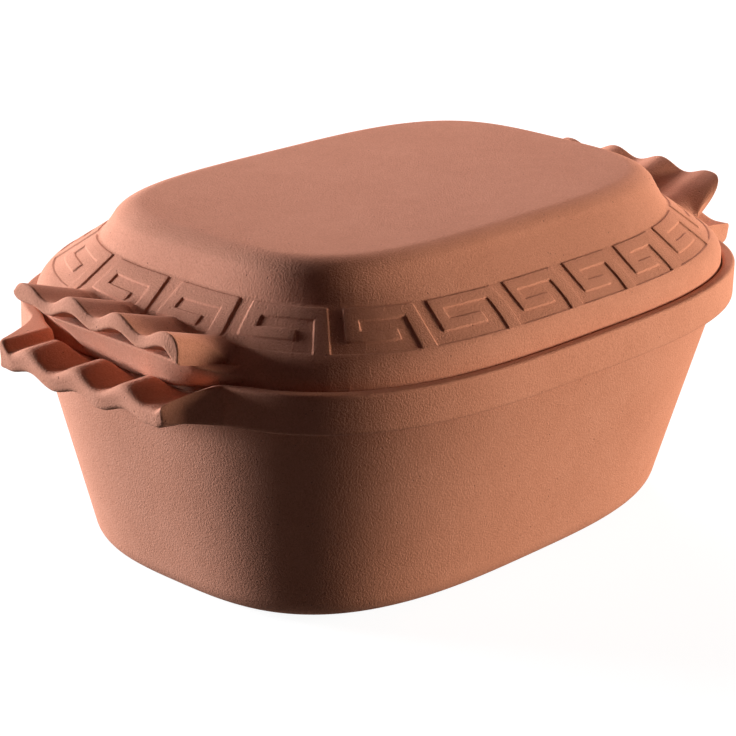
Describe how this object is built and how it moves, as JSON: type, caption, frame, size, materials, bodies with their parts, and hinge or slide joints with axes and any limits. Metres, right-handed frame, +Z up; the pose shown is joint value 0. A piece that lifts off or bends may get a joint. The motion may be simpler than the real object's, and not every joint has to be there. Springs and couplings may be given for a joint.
{
  "type": "clay roaster",
  "caption": "Deep oval roaster of unglazed clay with a domed lid, a key-pattern band and fluted end handles, for baking meat or bread in a closed dish.",
  "frame": {"origin": "centre of the bounding box in plan, on the flat foot of the dish", "axes": "+X along the roaster from handle to handle, +Y across it, +Z up through the lid"},
  "size_m": [0.413, 0.262, 0.1696],
  "materials": {
    "dish": "unglazed matt terracotta",
    "lid": "unglazed matt terracotta"
  },
  "bodies": {
    "dish": {"dish": "dish"},
    "lid": {"lid": "lid"}
  },
  "joints": [
    {"name": "lid_lift", "type": "slide", "parent": "dish", "child": "lid", "axis": [0, 0, 1], "range_m": [0, 0.1]}
  ]
}
